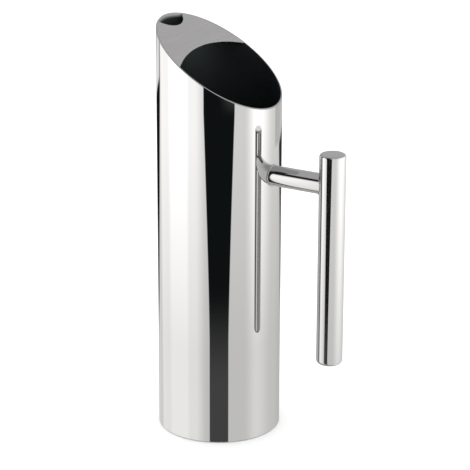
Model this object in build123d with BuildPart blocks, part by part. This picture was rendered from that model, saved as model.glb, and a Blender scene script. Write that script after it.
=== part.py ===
from build123d import *
from math import cos, radians, tan
import os

# A tall water jug made of thin stainless steel: a round tube with a slanted mouth, a flat base,
# a fixed ice guard across the spout half of the mouth, and a T-shaped handle made of two tubes.
# Millimetres, +Z up. The origin is the centre of the base, the handle points to +X and the
# spout to -X, so that XZ is the plane of symmetry.

# Body
body_diameter = 85.0
wall_thickness = 1.0
spout_height = 288.2  # base to the highest point of the rim
mouth_angle = 32.3  # slant of the mouth from level, in degrees
rim_edge_radius = 0.3
foot_edge_radius = 0.7

# Base
base_thickness = 1.2
base_weld_leg = 1.5

# Ice guard, with its depths measured down the slant from the inside of the spout
guard_thickness = 1.0
guard_depth = 33.3
guard_edge_radius = 90.0
notch_depth = 11.0
notch_radius = 17.4
guard_weld_leg = 1.2

# Handle arm
arm_diameter = 14.0
arm_wall = 1.0
arm_drop = 47.3  # the low side of the rim to the arm's axis
arm_weld_leg = 1.2

# Grip
grip_diameter = 18.0
grip_wall = 1.0
grip_length = 148.3  # over both caps
grip_rise = 22.1  # the arm's axis to the top of the grip
finger_clearance = 36.2  # body to grip
top_cap_thickness = 3.0
top_cap_radius = 2.0  # rounding of the top cap's edge
bottom_cap_thickness = 4.0
bottom_cap_radius = 3.0  # rounding of the bottom cap's edge
spigot_length = 5.0
spigot_clearance = 0.05  # spigot to the grip tube's bore, on the radius
grip_weld_leg = 1.0

# Sizes that follow
body_radius = body_diameter / 2
bore_radius = body_radius - wall_thickness
mouth_height = spout_height - body_radius * tan(radians(mouth_angle))  # on the body's axis
low_rim_height = spout_height - body_diameter * tan(radians(mouth_angle))
arm_radius = arm_diameter / 2
grip_radius = grip_diameter / 2
grip_bore_radius = grip_radius - grip_wall
grip_reach = body_radius + finger_clearance + grip_radius  # body's axis to the grip's axis
arm_height = low_rim_height - arm_drop
grip_top = arm_height + grip_rise
grip_bottom = grip_top - grip_length

# The spout, and the guard's two cut edges, as places along the slanted mouth
spout_place = -bore_radius / cos(radians(mouth_angle))
guard_edge_centre = spout_place + guard_depth + guard_edge_radius
notch_centre = spout_place + notch_depth - notch_radius
guard_blank = 3 * body_diameter  # overhangs the bore on every side

mouth_plane = Plane(Location((0, 0, mouth_height), (0, mouth_angle, 0)))
arm_plane = Plane(origin=(0, 0, arm_height), z_dir=(1, 0, 0))
grip_plane = Plane(origin=(grip_reach, 0, grip_bottom))


def draw_guard_outline():
    """The guard's curved lower edge and its notch, cut in a blank."""
    with Locations((guard_edge_centre, 0)):
        Rectangle(guard_blank, guard_blank, align=(Align.MAX, Align.CENTER))
        Circle(guard_edge_radius, mode=Mode.SUBTRACT)
    with Locations((notch_centre, 0)):
        Circle(notch_radius, mode=Mode.SUBTRACT)


def build_arm_bead(seat_plane, seat_radius, leg):
    """A weld bead round the arm's end, on a vertical cylinder that the arm is coped to."""
    with BuildPart() as bead:
        with BuildSketch(seat_plane):
            Circle(seat_radius + leg)
            Circle(seat_radius, mode=Mode.SUBTRACT)
        extrude(amount=spout_height)
        with BuildSketch(arm_plane):
            Circle(arm_radius + leg)
            Circle(arm_radius, mode=Mode.SUBTRACT)
        extrude(amount=grip_reach, mode=Mode.INTERSECT)
    return bead


def build_cap(face_plane, thickness, edge_radius):
    """A grip cap: a rounded disc that covers the tube's end, and a spigot inside it."""
    with BuildPart() as cap:
        with BuildSketch(face_plane):
            Circle(grip_radius)
        extrude(amount=-thickness)
        outer_edge = cap.edges().sort_by(Axis(face_plane.origin, face_plane.z_dir))[-1]
        fillet(outer_edge, edge_radius)
        with BuildSketch(face_plane.offset(-thickness)):
            Circle(grip_bore_radius - spigot_clearance)
        extrude(amount=-spigot_length)
    return cap


# Body wall: a rolled and polished tube, cut off at a slant
with BuildPart() as body_wall:
    with BuildSketch():
        Circle(body_radius)
        Circle(bore_radius, mode=Mode.SUBTRACT)
    extrude(amount=spout_height)
    foot_edge = body_wall.edges().group_by(Axis.Z)[0].sort_by(SortBy.LENGTH)[-1]
    fillet(foot_edge, foot_edge_radius)
    split(bisect_by=mouth_plane, keep=Keep.BOTTOM)
    rim_face = body_wall.faces().sort_by(Axis.Z)[-1]
    fillet(rim_face.edges(), rim_edge_radius)

# Base disc: let into the tube, flush with its foot
with BuildPart() as base_disc:
    with BuildSketch():
        Circle(bore_radius)
    extrude(amount=base_thickness)

# Base weld: the bead in the inside corner of base and wall
with BuildPart() as base_weld:
    with BuildSketch(Plane.XZ):
        with BuildLine():
            Polyline(
                (bore_radius, base_thickness),
                (bore_radius, base_thickness + base_weld_leg),
                (bore_radius - base_weld_leg, base_thickness),
                close=True,
            )
        make_face()
    revolve(axis=Axis.Z)

# Ice guard: a flat plate flush with the rim, with a curved lower edge and a notch to pour through
with BuildPart() as ice_guard:
    with BuildSketch(mouth_plane):
        draw_guard_outline()
    extrude(amount=-guard_thickness)
    with BuildSketch():
        Circle(bore_radius)
    extrude(amount=spout_height, mode=Mode.INTERSECT)

# Guard weld: a bead under the plate on each side, from the notch to the lower edge
with BuildPart() as guard_weld:
    with BuildSketch(mouth_plane.offset(-guard_thickness)):
        draw_guard_outline()
    extrude(amount=-guard_weld_leg)
    with BuildSketch():
        Circle(bore_radius)
        Circle(bore_radius - guard_weld_leg, mode=Mode.SUBTRACT)
    extrude(amount=spout_height, mode=Mode.INTERSECT)

# Handle arm: a short level tube, coped to the body at one end and to the grip at the other
with BuildPart() as handle_arm:
    with BuildSketch(arm_plane):
        Circle(arm_radius)
        Circle(arm_radius - arm_wall, mode=Mode.SUBTRACT)
    extrude(amount=grip_reach)
    with BuildSketch():
        Circle(body_radius)
    extrude(amount=spout_height, mode=Mode.SUBTRACT)
    with BuildSketch(grip_plane):
        Circle(grip_radius)
    extrude(amount=spout_height, mode=Mode.SUBTRACT)

# Grip tube: upright, closed by the two caps
with BuildPart() as grip_tube:
    with BuildSketch(grip_plane.offset(bottom_cap_thickness)):
        Circle(grip_radius)
        Circle(grip_bore_radius, mode=Mode.SUBTRACT)
    extrude(amount=grip_length - bottom_cap_thickness - top_cap_thickness)

top_face = grip_plane.offset(grip_length)
bottom_face = Plane(origin=grip_plane.origin, z_dir=(0, 0, -1))
grip_top_cap = build_cap(top_face, top_cap_thickness, top_cap_radius)
grip_bottom_cap = build_cap(bottom_face, bottom_cap_thickness, bottom_cap_radius)

arm_weld = build_arm_bead(Plane.XY, body_radius, arm_weld_leg)
grip_weld = build_arm_bead(grip_plane, grip_radius, grip_weld_leg)

# Write one STEP file for each piece
pieces = {
    "body_wall": body_wall,
    "base_disc": base_disc,
    "base_weld": base_weld,
    "ice_guard": ice_guard,
    "guard_weld": guard_weld,
    "handle_arm": handle_arm,
    "arm_weld": arm_weld,
    "grip_tube": grip_tube,
    "grip_weld": grip_weld,
    "grip_top_cap": grip_top_cap,
    "grip_bottom_cap": grip_bottom_cap,
}
os.makedirs("parts", exist_ok=True)
for name, piece in pieces.items():
    piece.part.label = name
    export_step(piece.part, f"parts/{name}.step")
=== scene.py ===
from math import atan2, cos, pi, radians, sin, sqrt, tan

import bmesh
import bpy
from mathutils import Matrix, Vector


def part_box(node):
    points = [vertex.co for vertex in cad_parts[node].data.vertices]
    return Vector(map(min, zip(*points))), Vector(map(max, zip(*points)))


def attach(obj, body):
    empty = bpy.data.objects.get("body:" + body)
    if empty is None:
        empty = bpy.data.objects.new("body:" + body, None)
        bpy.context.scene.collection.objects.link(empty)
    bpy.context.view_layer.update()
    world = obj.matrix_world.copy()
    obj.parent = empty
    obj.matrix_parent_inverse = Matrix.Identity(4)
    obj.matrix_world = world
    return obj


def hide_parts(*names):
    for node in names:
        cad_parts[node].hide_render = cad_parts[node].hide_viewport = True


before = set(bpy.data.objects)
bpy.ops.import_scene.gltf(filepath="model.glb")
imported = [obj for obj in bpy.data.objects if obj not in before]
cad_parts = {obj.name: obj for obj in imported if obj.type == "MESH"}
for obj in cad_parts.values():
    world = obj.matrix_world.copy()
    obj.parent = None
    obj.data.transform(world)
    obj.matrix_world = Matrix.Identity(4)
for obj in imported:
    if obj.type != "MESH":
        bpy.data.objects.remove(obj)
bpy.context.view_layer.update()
print("frame loaded:", len(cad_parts), "nodes")

# Sizes and places that every piece shares, read from the frame
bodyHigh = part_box("body_wall")[1]
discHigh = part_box("base_disc")[1]
armLow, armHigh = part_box("handle_arm")
gripLow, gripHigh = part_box("grip_tube")
topCapLow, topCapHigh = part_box("grip_top_cap")
bottomCapLow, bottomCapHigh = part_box("grip_bottom_cap")
bodyRadius = bodyHigh.x
boreRadius = discHigh.x
armRadius = (armHigh.y - armLow.y) / 2
armHeight = (armHigh.z + armLow.z) / 2
gripRadius = (gripHigh.y - gripLow.y) / 2
gripReach = (gripHigh.x + gripLow.x) / 2
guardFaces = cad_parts["ice_guard"].data.polygons
mouthFace = max((face for face in guardFaces if face.normal.z > 0.5), key=lambda face: face.area)
mouthNormal = mouthFace.normal.copy()
mouthSlope = mouthNormal.x / mouthNormal.z
mouthHeight = mouthFace.center.z + mouthSlope * mouthFace.center.x  # on the body's axis


# Node trees

def addNode(tree, kind, inputs=None, **settings):
    node = tree.nodes.new(kind)
    for name, value in settings.items():
        setattr(node, name, value)
    for socket, value in (inputs or {}).items():
        if isinstance(value, bpy.types.NodeSocket):
            tree.links.new(value, node.inputs[socket])
        else:
            node.inputs[socket].default_value = value
    return node


def addMath(tree, operation, *values):
    return addNode(tree, "ShaderNodeMath", dict(enumerate(values)), operation=operation).outputs[0]


# Maps a value from one range to another, eased at both ends
def addFade(tree, value, start, end, low=0.0, high=1.0):
    inputs = {"Value": value, "From Min": start, "From Max": end, "To Min": low, "To Max": high}
    return addNode(tree, "ShaderNodeMapRange", inputs, interpolation_type="SMOOTHSTEP").outputs["Result"]


def mixColour(tree, share, first, second):
    inputs = {"Factor": share, 6: first, 7: second}
    return addNode(tree, "ShaderNodeMix", inputs, data_type="RGBA").outputs[2]


# Noise over a place, finer as the scale grows
def addNoise(tree, place, scale, detail, roughness=0.5):
    inputs = {"Vector": place, "Scale": scale, "Detail": detail, "Roughness": roughness}
    return addNode(tree, "ShaderNodeTexNoise", inputs).outputs[0]


def addBump(tree, height, distance, inputs=None):
    inputs = {"Height": height, "Distance": distance, "Strength": 1.0, **(inputs or {})}
    return addNode(tree, "ShaderNodeBump", inputs).outputs[0]


def startMaterial(name):
    material = bpy.data.materials.new(name)
    material.use_nodes = True
    tree = material.node_tree
    return material, tree, tree.nodes["Principled BSDF"]


# Steels

polish = dict(
    colour=(0.64, 0.64, 0.643),
    roughness=(0.012, 0.04),
    handleRoughness=(0.02, 0.05),  # held and wiped more often
    handleMirror=0.993,
    smudgeSize=34.0,
    hairlines=(900.0, 900.0, 14.0),  # fine upright lines left by the buffing wheel
    hairlineDepth=0.0000012,
    waveSize=22.0,
    wave=0.00002,  # how far the sheet bows in and out
)


# Mirror polish: buffing hairlines, faint smudges and a barely wavy sheet
def makePolishedSteel(name, colour, roughness, mirror=1.0):
    material, tree, shader = startMaterial(name)
    place = addNode(tree, "ShaderNodeTexCoord").outputs["Object"]
    inputs = {"Vector": place, "Scale": polish["hairlines"]}
    stretched = addNode(tree, "ShaderNodeMapping", inputs).outputs[0]
    hairs = addNoise(tree, stretched, 1.0, 3.0)
    smudges = addNoise(tree, place, polish["smudgeSize"], 5.0, 0.62)
    smudged = addFade(tree, smudges, 0.42, 0.72, 0.0, 0.7)
    dull = addMath(tree, "ADD", smudged, addFade(tree, hairs, 0.5, 0.8, 0.0, 0.3))
    low, high = roughness
    shader.inputs["Metallic"].default_value = mirror
    shader.inputs["Base Color"].default_value = (*colour, 1.0)
    tree.links.new(addFade(tree, dull, 0.0, 1.0, low, high), shader.inputs["Roughness"])
    sheet = addBump(tree, addNoise(tree, place, polish["waveSize"], 1.0), polish["wave"])
    lines = addBump(tree, hairs, polish["hairlineDepth"], {"Normal": sheet})
    tree.links.new(lines, shader.inputs["Normal"])
    return material


# Satin finishes. Grain is how fine the scratches are along each axis, so a small number is the
# way they run. A lit lip is how far under the mouth the painted light on the bore's lip starts and ends,
# in metres
satin = dict(
    bore=dict(
        # the bore's colour is painted shade, much darker than its steel, for the shade the inside lies in
        colour=(0.058, 0.067, 0.071),  # the inside lies in its own shade
        roughness=(0.45, 0.55),
        grain=(60.0, 60.0, 1500.0),
        depth=0.0000003,
        litLip=(0.0034, 0.0004),
    ),
    guard=dict(
        colour=(0.665, 0.65, 0.656),
        roughness=(0.22, 0.28),
        grain=(1400.0, 25.0, 25.0),
        depth=0.0000003,
    ),
    base=dict(
        colour=(0.55, 0.55, 0.553),
        roughness=(0.24, 0.4),
        grain=(1400.0, 30.0, 30.0),
        depth=0.000001,
    ),
    weld=dict(
        colour=(0.56, 0.555, 0.545),
        roughness=(0.12, 0.3),
        grain=(420.0, 420.0, 420.0),
        depth=0.000003,
    ),
)


# Satin grain: long scratches along one direction, with blotches where the belt pressed harder
def makeSatinSteel(name, finish):
    material, tree, shader = startMaterial(name)
    place = addNode(tree, "ShaderNodeTexCoord").outputs["Object"]
    stretched = addNode(tree, "ShaderNodeMapping", {"Vector": place, "Scale": finish["grain"]}).outputs[0]
    scratches = addNoise(tree, stretched, 1.0, 4.0)
    blotches = addNoise(tree, place, 60.0, 3.0)
    shader.inputs["Metallic"].default_value = 1.0
    darker = [0.955 * part for part in finish["colour"]]
    shade = mixColour(tree, addFade(tree, scratches, 0.3, 0.7), (*darker, 1.0), (*finish["colour"], 1.0))
    if "litLip" in finish:
        # the spout's lip is painted lighter than the rest of the bore: painted light, where the bore's
        # painted shade gives way to the polished steel's colour
        parts = addNode(tree, "ShaderNodeSeparateXYZ", {0: place}).outputs
        rim = addMath(tree, "MULTIPLY_ADD", parts["X"], -mouthSlope, mouthHeight)
        under = addMath(tree, "SUBTRACT", rim, parts["Z"])
        atSpout = addFade(tree, parts["X"], -0.6 * boreRadius, -0.84 * boreRadius)
        share = addMath(tree, "MULTIPLY", addFade(tree, under, *finish["litLip"]), atSpout)
        shade = mixColour(tree, share, shade, (*polish["colour"], 1.0))
    tree.links.new(shade, shader.inputs["Base Color"])
    pressed = addMath(tree, "MULTIPLY", blotches, 0.4)
    dull = addMath(tree, "ADD", addMath(tree, "MULTIPLY", scratches, 0.6), pressed)
    low, high = finish["roughness"]
    tree.links.new(addFade(tree, dull, 0.3, 0.7, low, high), shader.inputs["Roughness"])
    tree.links.new(addBump(tree, scratches, finish["depth"]), shader.inputs["Normal"])
    return material


polishedSteel = makePolishedSteel("polishedSteel", polish["colour"], polish["roughness"])
handleSteel = makePolishedSteel(
    "handleSteel", polish["colour"], polish["handleRoughness"], polish["handleMirror"]
)
shadedBoreSteel = makeSatinSteel("shadedBoreSteel", satin["bore"])
guardSteel = makeSatinSteel("guardSteel", satin["guard"])
baseSteel = makeSatinSteel("baseSteel", satin["base"])
weldSteel = makeSatinSteel("weldSteel", satin["weld"])
print("steels ready")


# Mesh helpers

# Puts a mesh in the scene as a finished piece of the pitcher
def finishPiece(name, mesh, materials, node):
    for material in materials:
        mesh.materials.append(material)
    mesh.shade_smooth()
    mesh.set_sharp_from_angle(angle=radians(40))
    piece = bpy.data.objects.new(name, mesh)
    bpy.context.scene.collection.objects.link(piece)
    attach(piece, "root")
    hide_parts(node)
    return piece


# Joins rings of points into a closed skin. A ring that is one point is a pole
def skinRings(name, rings):
    skin = bmesh.new()
    corners = [[skin.verts.new(point) for point in ring] for ring in rings]
    for ring, following in zip(corners, corners[1:] + corners[:1]):
        count = max(len(ring), len(following))
        for i in range(count):
            near = [ring[i % len(ring)], ring[(i + 1) % count % len(ring)]]
            far = [following[(i + 1) % count % len(following)], following[i % len(following)]]
            face = list(dict.fromkeys(near + far))
            if len(face) > 2:
                skin.faces.new(face)
    bmesh.ops.recalc_face_normals(skin, faces=skin.faces)
    mesh = bpy.data.meshes.new(name)
    skin.to_mesh(mesh)
    skin.free()
    return mesh


# Rounds the corners of an outline, each given as (across, up, rounding), and holds each
# rounding between two close points, so that the flats beside it shade true
def roundOutline(corners, hold, steps=6):
    outline = []
    for i, (across, up, rounding) in enumerate(corners):
        here = Vector((across, up, 0))
        if not rounding:
            outline.append(here)
            continue
        before = (Vector((*corners[i - 1][:2], 0)) - here).normalized()
        after = (Vector((*corners[(i + 1) % len(corners)][:2], 0)) - here).normalized()
        half = before.angle(after) / 2
        reach = rounding / tan(half)
        centre = here + (before + after).normalized() * rounding / sin(half)
        first = here + before * reach - centre
        last = here + after * reach - centre
        outline.append(here + before * (reach + hold))
        for step in range(steps + 1):
            outline.append(centre + first.lerp(last, step / steps).normalized() * rounding)
        outline.append(here + after * (reach + hold))
    return [(point.x, point.y) for point in outline]


# Turns an outline about an upright axis
def turnOutline(name, outline, axisX, segments=192):
    angles = [2 * pi * i / segments for i in range(segments)]
    rings = []
    for radius, height in outline:
        if radius < 1e-6:
            rings.append([(axisX, 0, height)])
        else:
            rings.append([(axisX + radius * cos(a), radius * sin(a), height) for a in angles])
    return skinRings(name, rings)


# Geometry Nodes helpers

def startTree(name, sockets):
    tree = bpy.data.node_groups.new(name, "GeometryNodeTree")
    tree.interface.new_socket("Geometry", in_out="INPUT", socket_type="NodeSocketGeometry")
    for title, kind in sockets.items():
        tree.interface.new_socket(title, in_out="INPUT", socket_type="NodeSocket" + kind)
    tree.interface.new_socket("Geometry", in_out="OUTPUT", socket_type="NodeSocketGeometry")
    return tree, addNode(tree, "NodeGroupInput").outputs, addNode(tree, "NodeGroupOutput")


# Ends a tree in Realize Instances and Set Material
def endTree(tree, geometry, material, output):
    real = addNode(tree, "GeometryNodeRealizeInstances", {"Geometry": geometry}).outputs[0]
    painted = addNode(tree, "GeometryNodeSetMaterial", {"Geometry": real, "Material": material}).outputs[0]
    tree.links.new(painted, output.inputs[0])


# Runs a tree over a guide mesh and returns the result as a plain mesh
def growMesh(name, guide, tree, values):
    grower = bpy.data.objects.new(name + "Guide", guide)
    modifier = grower.modifiers.new("grow", "NODES")
    modifier.node_group = tree
    for item in tree.interface.items_tree:
        if item.in_out == "INPUT" and item.name in values:
            modifier[item.identifier] = values[item.name]
    bpy.context.scene.collection.objects.link(grower)
    shown = grower.evaluated_get(bpy.context.evaluated_depsgraph_get())
    mesh = bpy.data.meshes.new_from_object(shown)
    mesh.name = name
    bpy.data.objects.remove(grower)
    mesh.materials.clear()
    return mesh


def makeGuide(name, points, closed):
    guide = bpy.data.meshes.new(name + "Guide")
    count = len(points)
    edges = [(i, (i + 1) % count) for i in range(count if closed else count - 1)]
    guide.from_pydata(points, edges, [])
    return guide


# Body wall: the wall's section, carried round the axis and stretched upwards to the slanted
# mouth, so that every level line of the section becomes a slanted one at the rim

body = dict(
    segments=384,
    rimRounding=0.0004,
    footRounding=0.0007,
    hold=0.00005,
    seam=0.00001,  # points closer than this are one
)


def makeSlantTree():
    sockets = {"Segments": "Int", "Rows": "Int", "Slope": "Float", "Axis Height": "Float"}
    tree, given, output = startTree("slantedTube", {**sockets, "Material": "Material"})
    columns = addMath(tree, "ADD", given["Segments"], 1)
    rows = addMath(tree, "ADD", given["Rows"], 1)
    inputs = {"Size X": 1.0, "Size Y": 1.0, "Vertices X": columns, "Vertices Y": rows}
    sheet = addNode(tree, "GeometryNodeMeshGrid", inputs).outputs["Mesh"]
    spot = addNode(tree, "GeometryNodeInputPosition").outputs[0]
    parts = addNode(tree, "ShaderNodeSeparateXYZ", {0: spot}).outputs
    turn = addMath(tree, "MULTIPLY", addMath(tree, "ADD", parts["X"], 0.5), 2 * pi)
    row = addMath(tree, "MULTIPLY", addMath(tree, "ADD", parts["Y"], 0.5), given["Rows"])
    corner = addMath(tree, "MODULO", addMath(tree, "ROUND", row), given["Rows"])
    inputs = {"Geometry": given["Geometry"], "Value": spot, "Index": corner}
    section = addNode(tree, "GeometryNodeSampleIndex", inputs, data_type="FLOAT_VECTOR").outputs["Value"]
    outline = addNode(tree, "ShaderNodeSeparateXYZ", {0: section}).outputs
    x = addMath(tree, "MULTIPLY", outline["X"], addMath(tree, "COSINE", turn))
    y = addMath(tree, "MULTIPLY", outline["X"], addMath(tree, "SINE", turn))
    drop = addMath(tree, "DIVIDE", addMath(tree, "MULTIPLY", given["Slope"], x), given["Axis Height"])
    z = addMath(tree, "MULTIPLY", outline["Z"], addMath(tree, "SUBTRACT", 1.0, drop))
    place = addNode(tree, "ShaderNodeCombineXYZ", {"X": x, "Y": y, "Z": z}).outputs[0]
    moved = addNode(tree, "GeometryNodeSetPosition", {"Geometry": sheet, "Position": place}).outputs[0]
    inputs = {"Geometry": moved, "Distance": body["seam"]}
    joined = addNode(tree, "GeometryNodeMergeByDistance", inputs).outputs[0]
    endTree(tree, joined, given["Material"], output)
    return tree


def makeBodyWall():
    outline = roundOutline(
        [
            (boreRadius, 0.0, 0.0),
            (bodyRadius, 0.0, body["footRounding"]),
            (bodyRadius, mouthHeight, body["rimRounding"]),
            (boreRadius, mouthHeight, body["rimRounding"]),
        ],
        hold=body["hold"],
    )
    guide = makeGuide("bodyWall", [(radius, 0, height) for radius, height in outline], closed=True)
    values = {
        "Segments": body["segments"],
        "Rows": len(outline),
        "Slope": mouthSlope,
        "Axis Height": mouthHeight,
        "Material": polishedSteel,
    }
    mesh = growMesh("bodyWall", guide, makeSlantTree(), values)
    shell = bmesh.new()
    shell.from_mesh(mesh)
    bmesh.ops.recalc_face_normals(shell, faces=shell.faces)
    shell.to_mesh(mesh)
    shell.free()
    piece = finishPiece("bodyWall", mesh, [polishedSteel, shadedBoreSteel], "body_wall")
    boreLimit = boreRadius + 0.0001
    for face in mesh.polygons:
        if face.center.to_2d().length < boreLimit and abs(face.normal.z) < 0.5:
            # the bore's steel carries the painted shade of the inside
            face.material_index = 1  # the bore has its own steel
    return piece


makeBodyWall()
print("body wall made")


# Base disc, with an eased edge that leaves a fine groove beside the wall

base = dict(edge=0.0002, hold=0.0003)


def makeBaseDisc():
    outline = roundOutline(
        [
            (0.0, 0.0, 0.0),
            (boreRadius, 0.0, base["edge"]),
            (boreRadius, discHigh.z, base["edge"]),
            (0.0, discHigh.z, 0.0),
        ],
        hold=base["hold"],
    )
    mesh = turnOutline("baseDisc", outline, 0.0)
    return finishPiece("baseDisc", mesh, [baseSteel], "base_disc")


makeBaseDisc()
print("base disc made")


# Ice guard: a flat plate in the plane of the mouth

guard = dict(
    thickness=0.001,
    depth=0.0333,
    edgeRadius=0.09,
    notchDepth=0.011,
    notchRadius=0.0174,
    edge=0.00025,
    hold=0.0004,
)


# The plate's edge, as (down the slant, sideways) from the body's axis: the bore from the
# notch to the curved edge on each side, with the two cut arcs between
def drawGuard():
    stretch = sqrt(1 + mouthSlope ** 2)
    long = boreRadius * stretch
    edgeCentre = -long + guard["depth"] + guard["edgeRadius"]
    notchCentre = -long + guard["notchDepth"] - guard["notchRadius"]

    # where a circle centred on the slant's middle line meets the bore's ellipse
    def meet(centre, radius):
        a = 1 - 1 / stretch ** 2
        b = -2 * centre
        c = centre ** 2 + boreRadius ** 2 - radius ** 2
        roots = [(-b + sign * sqrt(b * b - 4 * a * c)) / (2 * a) for sign in (-1, 1)]
        down = next(root for root in roots if abs(root) <= long)
        return down, boreRadius * sqrt(1 - (down / long) ** 2)

    edgeMeet = meet(edgeCentre, guard["edgeRadius"])
    notchMeet = meet(notchCentre, guard["notchRadius"])

    def arc(centre, radius, start, end, count):
        first = atan2(start[1], start[0] - centre)
        last = atan2(end[1], end[0] - centre)
        if abs(last - first) > pi:
            last += 2 * pi if first > 0 else -2 * pi
        angles = [first + (last - first) * i / count for i in range(count + 1)]
        return [(centre + radius * cos(a), radius * sin(a)) for a in angles]

    def boreArc(start, end, count):
        first = atan2(start[1] / boreRadius, start[0] / long)
        last = atan2(end[1] / boreRadius, end[0] / long)
        angles = [first + (last - first) * i / count for i in range(1, count)]
        return [(long * cos(a), boreRadius * sin(a)) for a in angles]

    mirror = lambda spot: (spot[0], -spot[1])
    edgeArc = arc(edgeCentre, guard["edgeRadius"], mirror(edgeMeet), edgeMeet, 72)
    notchArc = arc(notchCentre, guard["notchRadius"], notchMeet, mirror(notchMeet), 40)
    farSide = boreArc(edgeMeet, notchMeet, 48)
    nearSide = boreArc(mirror(notchMeet), mirror(edgeMeet), 48)
    return edgeArc + farSide + notchArc + nearSide


# Moves every point of an outline inwards, square to its edge
def shrinkOutline(outline, inset):
    count = len(outline)
    shrunk = []
    for i in range(count):
        here = Vector(outline[i])
        before = (here - Vector(outline[i - 1])).normalized()
        after = (Vector(outline[(i + 1) % count]) - here).normalized()
        sides = [Vector((edge.y, -edge.x)) for edge in (before, after)]
        middle = (sides[0] + sides[1]).normalized()
        shrunk.append(here - middle * inset / max(middle.dot(sides[0]), 0.35))
    return shrunk


def makeIceGuard():
    outline = drawGuard()
    area = sum(a[0] * b[1] - b[0] * a[1] for a, b in zip(outline, outline[1:] + outline[:1]))
    if area < 0:
        outline.reverse()
    slant = sqrt(1 + mouthSlope ** 2)
    down = Vector((1, 0, -mouthSlope)) / slant
    thick, edge = guard["thickness"], guard["edge"]
    quarter = [radians(90 * step / 5) for step in range(6)]
    layers = [(edge + guard["hold"], 0.0)]
    layers += [(edge * (1 - sin(a)), edge * (1 - cos(a))) for a in quarter]
    layers += [(edge * (1 - cos(a)), thick - edge * (1 - sin(a))) for a in quarter]
    layers += [(edge + guard["hold"], thick)]
    rings = []
    for inset, depth in layers:
        ring = []
        for spot in shrinkOutline(outline, inset):
            point = Vector((0, 0, mouthHeight)) + down * spot[0] + Vector((0, spot[1], 0))
            ring.append(point - mouthNormal * depth)
        rings.append(ring)
    plate = bmesh.new()
    corners = [[plate.verts.new(point) for point in ring] for ring in rings]
    for ring, following in zip(corners, corners[1:]):
        for i in range(len(ring)):
            plate.faces.new((ring[i - 1], ring[i], following[i], following[i - 1]))
    plate.faces.new(corners[0])
    plate.faces.new(corners[-1])
    bmesh.ops.recalc_face_normals(plate, faces=plate.faces)
    mesh = bpy.data.meshes.new("iceGuard")
    plate.to_mesh(mesh)
    plate.free()
    return finishPiece("iceGuard", mesh, [guardSteel], "ice_guard")


makeIceGuard()
print("ice guard made")


# Handle: a level arm coped to the body and to the grip, and an upright grip with two caps

handle = dict(
    armWall=0.001,
    gripWall=0.001,
    topRounding=0.002,
    bottomRounding=0.003,
    spigotClearance=0.00005,
    hold=0.0002,
)


def makeHandleArm():
    segments = 128
    turns = [2 * pi * i / segments for i in range(segments)]
    shares = (0.0, 0.012, 0.25, 0.5, 0.75, 0.988, 1.0)

    def ring(radius, share):
        points = []
        for a in turns:
            y = radius * cos(a)
            start = sqrt(bodyRadius ** 2 - y * y)
            end = gripReach - sqrt(gripRadius ** 2 - y * y)
            points.append((start + (end - start) * share, y, armHeight + radius * sin(a)))
        return points

    rings = [ring(armRadius, share) for share in shares]
    rings += [ring(armRadius - handle["armWall"], share) for share in reversed(shares)]
    mesh = skinRings("handleArm", rings)
    return finishPiece("handleArm", mesh, [handleSteel], "handle_arm")


def makeGripTube():
    inner = gripRadius - handle["gripWall"]
    low, high = gripLow.z, gripHigh.z
    outline = [(inner, low), (gripRadius, low), (gripRadius, high), (inner, high)]
    mesh = turnOutline("gripTube", outline, gripReach)
    return finishPiece("gripTube", mesh, [handleSteel], "grip_tube")


# A cap, given the levels of its outer face, of the tube's end and of the spigot's end
def makeGripCap(name, node, levels, rounding):
    face, shoulder, spigotEnd = levels
    spigot = gripRadius - handle["gripWall"] - handle["spigotClearance"]
    outline = roundOutline(
        [
            (0.0, face, 0.0),
            (gripRadius, face, rounding),
            (gripRadius, shoulder, 0.0),
            (spigot, shoulder, 0.0),
            (spigot, spigotEnd, 0.0),
            (0.0, spigotEnd, 0.0),
        ],
        hold=handle["hold"],
        steps=12,
    )
    mesh = turnOutline(name, outline, gripReach)
    return finishPiece(name, mesh, [handleSteel], node)


makeHandleArm()
makeGripTube()
topLevels = (topCapHigh.z, gripHigh.z, topCapLow.z)
bottomLevels = (bottomCapLow.z, gripLow.z, bottomCapHigh.z)
makeGripCap("gripTopCap", "grip_top_cap", topLevels, handle["topRounding"])
makeGripCap("gripBottomCap", "grip_bottom_cap", bottomLevels, handle["bottomRounding"])
print("handle made")


# Weld beads: each follows its seam, with the ripples of a bead laid in small steps

bead = dict(
    arm=dict(radius=0.0005, seat=0.00015, pitch=0.001, ripple=0.025),
    grip=dict(radius=0.00045, seat=0.0001, pitch=0.001, ripple=0.025),
    base=dict(radius=0.0008, seat=0.0006, pitch=0.0016, ripple=0.12),
    guard=dict(radius=0.0006, seat=0.0005, pitch=0.0014, ripple=0.12),
)


def makeBeadTree():
    tree, given, output = startTree(
        "weldBead",
        {"Bead Radius": "Float", "Ripple Pitch": "Float", "Ripple Depth": "Float", "Material": "Material"},
    )
    seam = addNode(tree, "GeometryNodeMeshToCurve", {"Mesh": given["Geometry"]}).outputs[0]
    step = addMath(tree, "DIVIDE", given["Ripple Pitch"], 6.0)
    inputs = {"Curve": seam, "Length": step}
    even = addNode(tree, "GeometryNodeResampleCurve", inputs, mode="LENGTH").outputs[0]
    length = addNode(tree, "GeometryNodeSplineParameter").outputs["Length"]
    phase = addMath(tree, "DIVIDE", addMath(tree, "MULTIPLY", length, 2 * pi), given["Ripple Pitch"])
    swell = addMath(tree, "MULTIPLY_ADD", addMath(tree, "SINE", phase), given["Ripple Depth"], 1.0)
    size = addMath(tree, "MULTIPLY", swell, given["Bead Radius"])
    ring = addNode(tree, "GeometryNodeCurvePrimitiveCircle", {"Resolution": 16, "Radius": 1.0}).outputs[0]
    inputs = {"Curve": even, "Profile Curve": ring, "Scale": size, "Fill Caps": True}
    tube = addNode(tree, "GeometryNodeCurveToMesh", inputs).outputs[0]
    endTree(tree, tube, given["Material"], output)
    return tree


beadTree = makeBeadTree()


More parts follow.
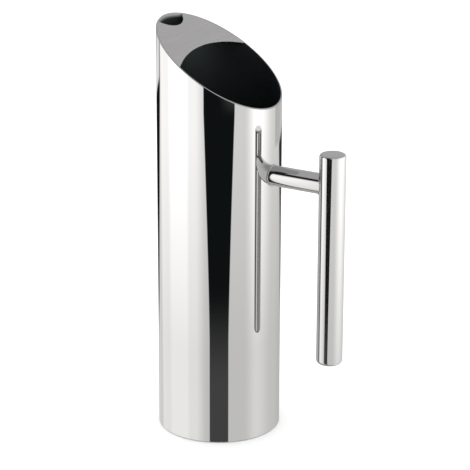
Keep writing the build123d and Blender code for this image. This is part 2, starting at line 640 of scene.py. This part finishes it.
# Lays one bead along each seam, and joins them into one piece
def makeBead(name, node, seams, closed, size):
    joined = bmesh.new()
    values = {
        "Bead Radius": size["radius"],
        "Ripple Pitch": size["pitch"],
        "Ripple Depth": size["ripple"],
        "Material": weldSteel,
    }
    for seam in seams:
        joined.from_mesh(growMesh(name, makeGuide(name, seam, closed), beadTree, values))
    bmesh.ops.recalc_face_normals(joined, faces=joined.faces)
    mesh = bpy.data.meshes.new(name)
    joined.to_mesh(mesh)
    joined.free()
    return finishPiece(name, mesh, [weldSteel], node)


# The seam of the arm on an upright cylinder, with the bead's middle held off both
def armSeam(axisX, seatRadius, facing, seat):
    ring = []
    for i in range(96):
        a = 2 * pi * i / 96
        y = (armRadius + seat) * cos(a)
        x = axisX + facing * sqrt((seatRadius + seat) ** 2 - y * y)
        ring.append((x, y, armHeight + (armRadius + seat) * sin(a)))
    return ring


def baseSeam(seat):
    radius = boreRadius - seat
    ring = [2 * pi * i / 240 for i in range(240)]
    return [(radius * cos(a), radius * sin(a), discHigh.z + seat) for a in ring]


# Under the plate along the bore, from the notch to the curved edge, on one side
def guardSeam(side, seat):
    low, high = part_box("guard_weld")
    first = atan2(sqrt(boreRadius ** 2 - low.x ** 2), low.x)
    last = atan2(sqrt(boreRadius ** 2 - high.x ** 2), high.x)
    under = (guard["thickness"] + seat) * sqrt(1 + mouthSlope ** 2)
    steps, margin = 59, 0.02  # the bead stops this share short of each end
    line = []
    for i in range(steps + 1):
        a = first + (last - first) * (margin + (1 - 2 * margin) * i / steps)
        x, y = (boreRadius - seat) * cos(a), (boreRadius - seat) * sin(a)
        line.append((x, side * y, mouthHeight - mouthSlope * x - under))
    return line


bodySeam = armSeam(0.0, bodyRadius, 1, bead["arm"]["seat"])
gripSeam = armSeam(gripReach, gripRadius, -1, bead["grip"]["seat"])
makeBead("armWeld", "arm_weld", [bodySeam], True, bead["arm"])
makeBead("gripWeld", "grip_weld", [gripSeam], True, bead["grip"])
makeBead("baseWeld", "base_weld", [baseSeam(bead["base"]["seat"])], True, bead["base"])
guardSeams = [guardSeam(side, bead["guard"]["seat"]) for side in (-1, 1)]
makeBead("guardWeld", "guard_weld", guardSeams, False, bead["guard"])
print("welds made")


# Camera

view = dict(
    azimuth=31.0,
    elevation=18.53,
    distance=1.424,
    lens=158.0,
    roll=0.16,
    target=(0.0092, 0.0057, 0.1374),
)


def makeCamera():
    data = bpy.data.cameras.new("camera")
    data.lens = view["lens"]
    data.sensor_width = 36.0
    data.clip_start, data.clip_end = 0.05, 50.0
    camera = bpy.data.objects.new("camera", data)
    bpy.context.scene.collection.objects.link(camera)
    azimuth, elevation = radians(view["azimuth"]), radians(view["elevation"])
    back = Vector((sin(azimuth) * cos(elevation), -cos(azimuth) * cos(elevation), sin(elevation)))
    camera.location = Vector(view["target"]) + back * view["distance"]
    turn = (-back).to_track_quat("-Z", "Y").to_matrix().to_4x4()
    camera.rotation_euler = turn.to_euler()
    camera.rotation_euler.rotate_axis("Z", radians(view["roll"]))
    bpy.context.scene.camera = camera


makeCamera()
print("camera placed")


# Studio: a pale floor, even white light all round, and a light tent close about the pitcher
# that shows only in its reflections. Gaps in the tent's wall draw the black bands

studio = dict(
    floorSize=6.0,
    floorLevel=-0.0002,
    skyLight=1.5,
    tentRadius=0.155,
    tentSides=180,
    tentFoot=-0.6,
    tentTop=0.62,
    strength=1.56,
    overhead=154,
    underfoot=145,
    lowLevel=0.02,  # the wall's first level holds at this height, and its second at the next
    highLevel=0.19,
    glare=1.12,
    paper=(0.88, 0.9),
    plainTint=(1.0, 1.0, 1.0),
    wallTint=(1.009, 1.0, 0.98),
    gapTint=(0.8, 1.0, 1.03),
)

# The tent's wall is a plain grey that darkens behind, with soft boxes hung on it, the later ones
# over the earlier. A level is given near the table and high up, out of 255. A side is where the
# box starts to show and where it is full, in degrees from the camera's side
wall = dict(front=(188, 205), behind=(155, 165), turning=(104, 162))
softBoxes = dict(
    backStrip=dict(level=(192, 206), left=(-150, -142), right=(-116, -124)),
    leftWide=dict(level=(220, 245), left=(-127, -115), right=(-18, -40)),
    leftBright=dict(level=(230, 255), left=(-97, -86), right=(-48, -56)),
    rightBright=dict(level=(210, 255), left=(40, 66), right=(106, 64)),
)


# A grey level out of 255 as a light colour. 255 stands for white light that is a little too bright
def lightColour(level, tint):
    if level == 255:
        return (*(studio["glare"] * part for part in tint), 1.0)
    share = level / 255
    strength = share / 12.92 if share <= 0.04045 else ((share + 0.055) / 1.055) ** 2.4
    return (*(strength * part for part in tint), 1.0)


# The gaps behind the pitcher. Angles are in degrees from the camera's side, with the left side
# below zero, and heights in metres. A gap's inner edge and its top both lean
rightGap = dict(
    edge=128.8,
    edgeAt=0.168,
    lean=-128,
    outer=(170, 164),
    foot=(0.02, 0.06),
    top=0.172,
    topAt=138,
    topLean=0.022,
    pale=105,
    dark=42,
    paling=(0.1, 0.15),
    tint="plainTint",
)
leftGap = dict(
    edge=-124.8,
    edgeAt=0.2,
    lean=83,
    outer=(-158, -152),
    foot=(0.0, 0.055),
    top=0.219,
    topAt=-126,
    topLean=0.04,
    pale=80,
    dark=18,
    paling=(0.05, 0.13),
    tint="gapTint",
)

# A greyer strip of wall over the right gap, and a thin grey seam over the left one
rightStrip = dict(level=172, edge=(109, 112), outer=(142, 138), foot=(0.166, 0.172))
leftSeam = dict(level=115, outer=(-128, -126), edge=(-122, -124), foot=(0.211, 0.22))

# The heights over which the wall gives way to plain grey: soonest behind, then on the right
endings = dict(
    behind=(138, 146),
    behindTop=(0.225, 0.245),
    right=(20, 40),
    rightTop=(0.2, 0.29),
    top=(0.25, 0.29),
    foot=(-0.045, -0.2),
)

# The gap at the camera's side: its half width at its foot and what it gains on the way up
frontGap = dict(
    width=15.2,
    gain=9.3,
    curve=1.3,
    climb=(0.03, 0.205),
    soft=0.7,
    closing=(0.2, 0.3),  # its right half closes over these heights
    closingFrom=(-2, 25),
    spread=(0.28, 0.305),  # and above these it spreads to the left
    spreadFrom=(-68, -60),
    spreadTo=(8, -2),
    top=(0.415, 0.385),
    foot=(-0.25, -0.05),
    pale=63,
    dark=17,
    paling=(-0.01, 0.075),
)


# The tent's light over its height and round its angle, which is 0 at the camera's side
def makeTentLight():
    material = bpy.data.materials.new("tentLight")
    material.use_nodes = True
    tree = material.node_tree
    tree.nodes.clear()
    grey = lambda level, tint="plainTint": lightColour(level, studio[tint])
    times = lambda *factors: addMath(tree, "MULTIPLY", *factors)
    minus = lambda value, less: addMath(tree, "SUBTRACT", value, less)
    fade = lambda value, start, end: addFade(tree, value, start, end)
    turn = lambda value, start, end: addFade(tree, value, radians(start), radians(end))

    place = addNode(tree, "ShaderNodeTexCoord").outputs["Object"]
    facing = (0, 0, radians(90 - view["azimuth"]))
    turned = addNode(tree, "ShaderNodeMapping", {"Vector": place, "Rotation": facing}).outputs[0]
    parts = addNode(tree, "ShaderNodeSeparateXYZ", {0: turned}).outputs
    height = parts["Z"]
    angle = addMath(tree, "ARCTAN2", parts["Y"], parts["X"])
    off = addMath(tree, "ABSOLUTE", angle)
    inputs = {"Value": height, "From Min": studio["lowLevel"], "From Max": studio["highLevel"]}
    rise = addNode(tree, "ShaderNodeMapRange", inputs).outputs[0]
    between = lambda levels: mixColour(tree, rise, *(grey(level, "wallTint") for level in levels))
    light = mixColour(tree, turn(off, *wall["turning"]), between(wall["front"]), between(wall["behind"]))
    for box in softBoxes.values():
        within = times(turn(angle, *box["left"]), turn(angle, *box["right"]))
        light = mixColour(tree, within, light, between(box["level"]))

    # behind, the strip and the gaps, which narrow and pale towards the floor, and the seam
    within = times(turn(angle, *rightStrip["edge"]), turn(angle, *rightStrip["outer"]))
    within = times(within, fade(height, *rightStrip["foot"]))
    light = mixColour(tree, within, light, grey(rightStrip["level"], "wallTint"))
    for gap in (rightGap, leftGap):
        soft = 2 if gap["edge"] > 0 else -2
        lean = radians(gap["lean"])
        edge = addMath(tree, "MULTIPLY_ADD", height, lean, radians(gap["edge"]) - lean * gap["edgeAt"])
        levelTop = gap["top"] - gap["topLean"] * radians(gap["topAt"])
        above = minus(height, addMath(tree, "MULTIPLY_ADD", angle, gap["topLean"], levelTop))
        around = times(turn(minus(angle, edge), -soft, soft), turn(angle, *gap["outer"]))
        opening = times(around, times(fade(height, *gap["foot"]), fade(above, 0.004, -0.004)))
        paling = fade(height, *gap["paling"])
        level = mixColour(tree, paling, grey(gap["pale"]), grey(gap["dark"], gap["tint"]))
        light = mixColour(tree, opening, light, level)

    within = times(turn(angle, *leftSeam["outer"]), turn(angle, *leftSeam["edge"]))
    within = times(within, fade(height, *leftSeam["foot"]))
    light = mixColour(tree, within, light, grey(leftSeam["level"], "wallTint"))

    # overhead and underfoot, plain grey
    behind = times(turn(off, *endings["behind"]), fade(height, *endings["behindTop"]))
    right = times(turn(angle, *endings["right"]), fade(height, *endings["rightTop"]))
    sides = addMath(tree, "MAXIMUM", behind, right)
    top = addMath(tree, "MAXIMUM", sides, fade(height, *endings["top"]))
    light = mixColour(tree, top, light, grey(studio["overhead"]))
    light = mixColour(tree, fade(height, *endings["foot"]), light, grey(studio["underfoot"]))

    # at the camera's side the widest gap, a little lit near the floor
    inputs = {"Value": height, "From Min": frontGap["climb"][0], "From Max": frontGap["climb"][1]}
    climb = addNode(tree, "ShaderNodeMapRange", inputs).outputs[0]
    bowed = addMath(tree, "POWER", climb, frontGap["curve"])
    width = addMath(tree, "MULTIPLY_ADD", bowed, radians(frontGap["gain"]), radians(frontGap["width"]))
    closed = times(fade(height, *frontGap["closing"]), turn(angle, *frontGap["closingFrom"]))
    within = turn(minus(off, width), frontGap["soft"], -frontGap["soft"])
    within = times(within, minus(1.0, closed))
    sideways = times(turn(angle, *frontGap["spreadTo"]), turn(angle, *frontGap["spreadFrom"]))
    spread = times(sideways, fade(height, *frontGap["spread"]))
    ends = times(fade(height, *frontGap["top"]), fade(height, *frontGap["foot"]))
    opening = times(addMath(tree, "MAXIMUM", within, spread), ends)
    paling = fade(height, *frontGap["paling"])
    level = mixColour(tree, paling, grey(frontGap["pale"]), grey(frontGap["dark"], "gapTint"))
    light = mixColour(tree, opening, light, level)

    glow = addNode(tree, "ShaderNodeEmission", {"Color": light, "Strength": studio["strength"]}).outputs[0]
    addNode(tree, "ShaderNodeOutputMaterial", {"Surface": glow})
    material.cycles.emission_sampling = "NONE"
    return material


def makeTent():
    radius, foot, top = studio["tentRadius"], studio["tentFoot"], studio["tentTop"]
    sides = studio["tentSides"]
    turns = [2 * pi * i / sides for i in range(sides)]
    points = [(radius * cos(a), radius * sin(a), z) for z in (foot, top) for a in turns]
    faces = [(i, (i + 1) % sides, (i + 1) % sides + sides, i + sides) for i in range(sides)]
    mesh = bpy.data.meshes.new("lightTent")
    mesh.from_pydata(points, [], faces)
    mesh.materials.append(makeTentLight())
    tent = bpy.data.objects.new("lightTent", mesh)
    bpy.context.scene.collection.objects.link(tent)
    tent.visible_camera = False
    tent.visible_diffuse = False
    tent.visible_transmission = False
    tent.visible_volume_scatter = False
    tent.visible_shadow = False


def makeFloor():
    material, tree, shader = startMaterial("paperFloor")
    place = addNode(tree, "ShaderNodeTexCoord").outputs["Object"]
    whites = [(white, white, white, 1.0) for white in studio["paper"]]
    tint = mixColour(tree, addNoise(tree, place, 900.0, 2.0), *whites)
    tree.links.new(tint, shader.inputs["Base Color"])
    shader.inputs["Roughness"].default_value = 1.0
    shader.inputs["Specular IOR Level"].default_value = 0.0
    half, level = studio["floorSize"] / 2, studio["floorLevel"]
    corners = [(-half, -half, level), (half, -half, level), (half, half, level), (-half, half, level)]
    mesh = bpy.data.meshes.new("floor")
    mesh.from_pydata(corners, [], [(0, 1, 2, 3)])
    mesh.materials.append(material)
    floor = bpy.data.objects.new("floor", mesh)
    bpy.context.scene.collection.objects.link(floor)
    floor.visible_glossy = False


# White to the camera and to the floor, and plain greys above and below in reflections
def makeSky():
    world = bpy.data.worlds.new("studioSky")
    bpy.context.scene.world = world
    world.use_nodes = True
    tree = world.node_tree
    tree.nodes.clear()
    path = addNode(tree, "ShaderNodeLightPath").outputs
    direction = addNode(tree, "ShaderNodeTexCoord").outputs["Generated"]
    up = addNode(tree, "ShaderNodeSeparateXYZ", {0: direction}).outputs["Z"]
    greys = [lightColour(studio[name], studio["plainTint"]) for name in ("underfoot", "overhead")]
    inputs = {0: mixColour(tree, addFade(tree, up, -0.2, 0.2), *greys), "Scale": studio["strength"]}
    mirrored = addNode(tree, "ShaderNodeVectorMath", inputs, operation="SCALE").outputs[0]
    white = [(level, level, level, 1.0) for level in (studio["skyLight"], 1.0)]
    light = mixColour(tree, path["Is Glossy Ray"], white[0], mirrored)
    light = mixColour(tree, path["Is Camera Ray"], light, white[1])
    glow = addNode(tree, "ShaderNodeBackground", {"Color": light, "Strength": 1.0}).outputs[0]
    addNode(tree, "ShaderNodeOutputWorld", {"Surface": glow})


makeTent()
makeFloor()
makeSky()
bpy.context.scene.view_settings.view_transform = "Standard"
print("studio lit")
